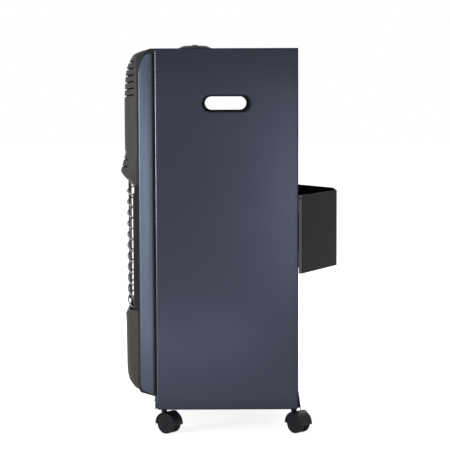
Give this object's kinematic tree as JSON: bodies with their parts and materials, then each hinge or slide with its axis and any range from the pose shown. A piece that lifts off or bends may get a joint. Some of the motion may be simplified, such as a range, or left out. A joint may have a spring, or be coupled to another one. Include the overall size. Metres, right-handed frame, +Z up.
{
  "type": "portable gas cabinet heater",
  "caption": "Upright steel cabinet heater on castors, with a louvred front, a wire grille over ceramic burners and an open rear bay for a gas bottle.",
  "frame": {"origin": "on the floor under the middle of the overall outline", "axes": "+Z up, the front faces -Y, +X is the heater's right side panel in the picture"},
  "size_m": [0.42, 0.442, 0.7853],
  "materials": {
    "cabinet_paint": "semi-gloss",
    "black_paint": "satin",
    "pillar_metal": "satin",
    "fascia_moulding": "satin",
    "chamber_steel": "satin",
    "zinc_steel": "satin",
    "reflector_steel": "polished",
    "grille_wire": "polished",
    "burner_mesh": "matte",
    "burner_ceramic": "matte",
    "electrode_ceramic": "gloss",
    "copper_lead": "satin",
    "lead_sheath": "matte",
    "pipe_steel": "satin",
    "brass": "satin",
    "tap_casting": "cast",
    "knob_plastic": "satin",
    "castor_plastic": "satin",
    "castor_wheel": "matte"
  },
  "bodies": {
    "cabinet": {"side_panel_right": "cabinet_paint", "side_panel_left": "cabinet_paint", "top_panel": "cabinet_paint", "rear_top_rail": "cabinet_paint", "base_tray": "cabinet_paint", "bay_partition": "chamber_steel", "front_cheek_right": "black_paint", "front_cheek_left": "black_paint", "front_pillar_right": "pillar_metal", "front_pillar_left": "pillar_metal", "upper_fascia": "fascia_moulding", "lower_fascia": "fascia_moulding", "fascia_screws": "zinc_steel", "burner_surround": "black_paint", "wire_grille": "grille_wire", "reflector": "reflector_steel", "heat_deflector": "chamber_steel", "pilot_burner": "zinc_steel", "thermocouple": "copper_lead", "spark_electrode": "electrode_ceramic", "igniter_lead": "lead_sheath", "piezo_igniter": "lead_sheath", "burner_pipes": "pipe_steel", "pilot_pipe": "pipe_steel", "injectors": "brass", "injector_rail": "chamber_steel", "gas_tap_body": "tap_casting", "tap_bracket": "zinc_steel", "gas_inlet_nozzle": "brass", "knob_bezel": "knob_plastic", "guard_hook_pins": "zinc_steel", "castor_sockets": "castor_plastic", "burner_screens": "burner_mesh", "burner_body_1": "chamber_steel", "burner_plaque_1": "burner_ceramic", "burner_body_2": "chamber_steel", "burner_plaque_2": "burner_ceramic", "burner_body_3": "chamber_steel", "burner_plaque_3": "burner_ceramic"},
    "tap_plug": {"tap_plug": "brass"},
    "knob": {"knob_spindle": "zinc_steel", "control_knob": "knob_plastic"},
    "guard": {"bottle_guard": "black_paint"},
    "castor_front_right": {"castor_hood_front_right": "castor_plastic", "castor_axle_front_right": "zinc_steel"},
    "wheel_front_right_1": {"castor_wheel_front_right_1": "castor_wheel"},
    "wheel_front_right_2": {"castor_wheel_front_right_2": "castor_wheel"},
    "castor_front_left": {"castor_hood_front_left": "castor_plastic", "castor_axle_front_left": "zinc_steel"},
    "wheel_front_left_1": {"castor_wheel_front_left_1": "castor_wheel"},
    "wheel_front_left_2": {"castor_wheel_front_left_2": "castor_wheel"},
    "castor_rear_right": {"castor_hood_rear_right": "castor_plastic", "castor_axle_rear_right": "zinc_steel"},
    "wheel_rear_right_1": {"castor_wheel_rear_right_1": "castor_wheel"},
    "wheel_rear_right_2": {"castor_wheel_rear_right_2": "castor_wheel"},
    "castor_rear_left": {"castor_hood_rear_left": "castor_plastic", "castor_axle_rear_left": "zinc_steel"},
    "wheel_rear_left_1": {"castor_wheel_rear_left_1": "castor_wheel"},
    "wheel_rear_left_2": {"castor_wheel_rear_left_2": "castor_wheel"}
  },
  "joints": [
    {"name": "knob_turn", "type": "hinge", "parent": "cabinet", "child": "tap_plug", "pos_m": [0, -0.0738, 0.73], "axis": [0, 0, 1], "range_deg": [0, 240]},
    {"name": "knob_press", "type": "slide", "parent": "tap_plug", "child": "knob", "axis": [0, 0, -1], "range_m": [0, 0.004], "stiffness_N_per_m": 800, "springref_m": -0.003},
    {"name": "guard_lift", "type": "slide", "parent": "cabinet", "child": "guard", "axis": [0, 0, 1], "range_m": [0, 0.03]},
    {"name": "swivel_front_right", "type": "hinge", "parent": "cabinet", "child": "castor_front_right", "pos_m": [0.17, -0.1374, 0.053], "axis": [0, 0, 1], "continuous": true},
    {"name": "roll_front_right_1", "type": "hinge", "parent": "castor_front_right", "child": "wheel_front_right_1", "pos_m": [0.17818, -0.1273, 0.0205], "axis": [0.7771, -0.6293, 0], "continuous": true},
    {"name": "roll_front_right_2", "type": "hinge", "parent": "castor_front_right", "child": "wheel_front_right_2", "pos_m": [0.17818, -0.1273, 0.0205], "axis": [0.7771, -0.6293, 0], "continuous": true},
    {"name": "swivel_front_left", "type": "hinge", "parent": "cabinet", "child": "castor_front_left", "pos_m": [-0.17, -0.1374, 0.053], "axis": [0, 0, 1], "continuous": true},
    {"name": "roll_front_left_1", "type": "hinge", "parent": "castor_front_left", "child": "wheel_front_left_1", "pos_m": [-0.16182, -0.1273, 0.0205], "axis": [0.7771, -0.6293, 0], "continuous": true},
    {"name": "roll_front_left_2", "type": "hinge", "parent": "castor_front_left", "child": "wheel_front_left_2", "pos_m": [-0.16182, -0.1273, 0.0205], "axis": [0.7771, -0.6293, 0], "continuous": true},
    {"name": "swivel_rear_right", "type": "hinge", "parent": "cabinet", "child": "castor_rear_right", "pos_m": [0.17, 0.125, 0.053], "axis": [0, 0, 1], "continuous": true},
    {"name": "roll_rear_right_1", "type": "hinge", "parent": "castor_rear_right", "child": "wheel_rear_right_1", "pos_m": [0.17951, 0.13387, 0.0205], "axis": [0.682, -0.7314, 0], "continuous": true},
    {"name": "roll_rear_right_2", "type": "hinge", "parent": "castor_rear_right", "child": "wheel_rear_right_2", "pos_m": [0.17951, 0.13387, 0.0205], "axis": [0.682, -0.7314, 0], "continuous": true},
    {"name": "swivel_rear_left", "type": "hinge", "parent": "cabinet", "child": "castor_rear_left", "pos_m": [-0.17, 0.125, 0.053], "axis": [0, 0, 1], "continuous": true},
    {"name": "roll_rear_left_1", "type": "hinge", "parent": "castor_rear_left", "child": "wheel_rear_left_1", "pos_m": [-0.16555, 0.11278, 0.0205], "axis": [-0.9397, -0.342, 0], "continuous": true},
    {"name": "roll_rear_left_2", "type": "hinge", "parent": "castor_rear_left", "child": "wheel_rear_left_2", "pos_m": [-0.16555, 0.11278, 0.0205], "axis": [-0.9397, -0.342, 0], "continuous": true}
  ]
}
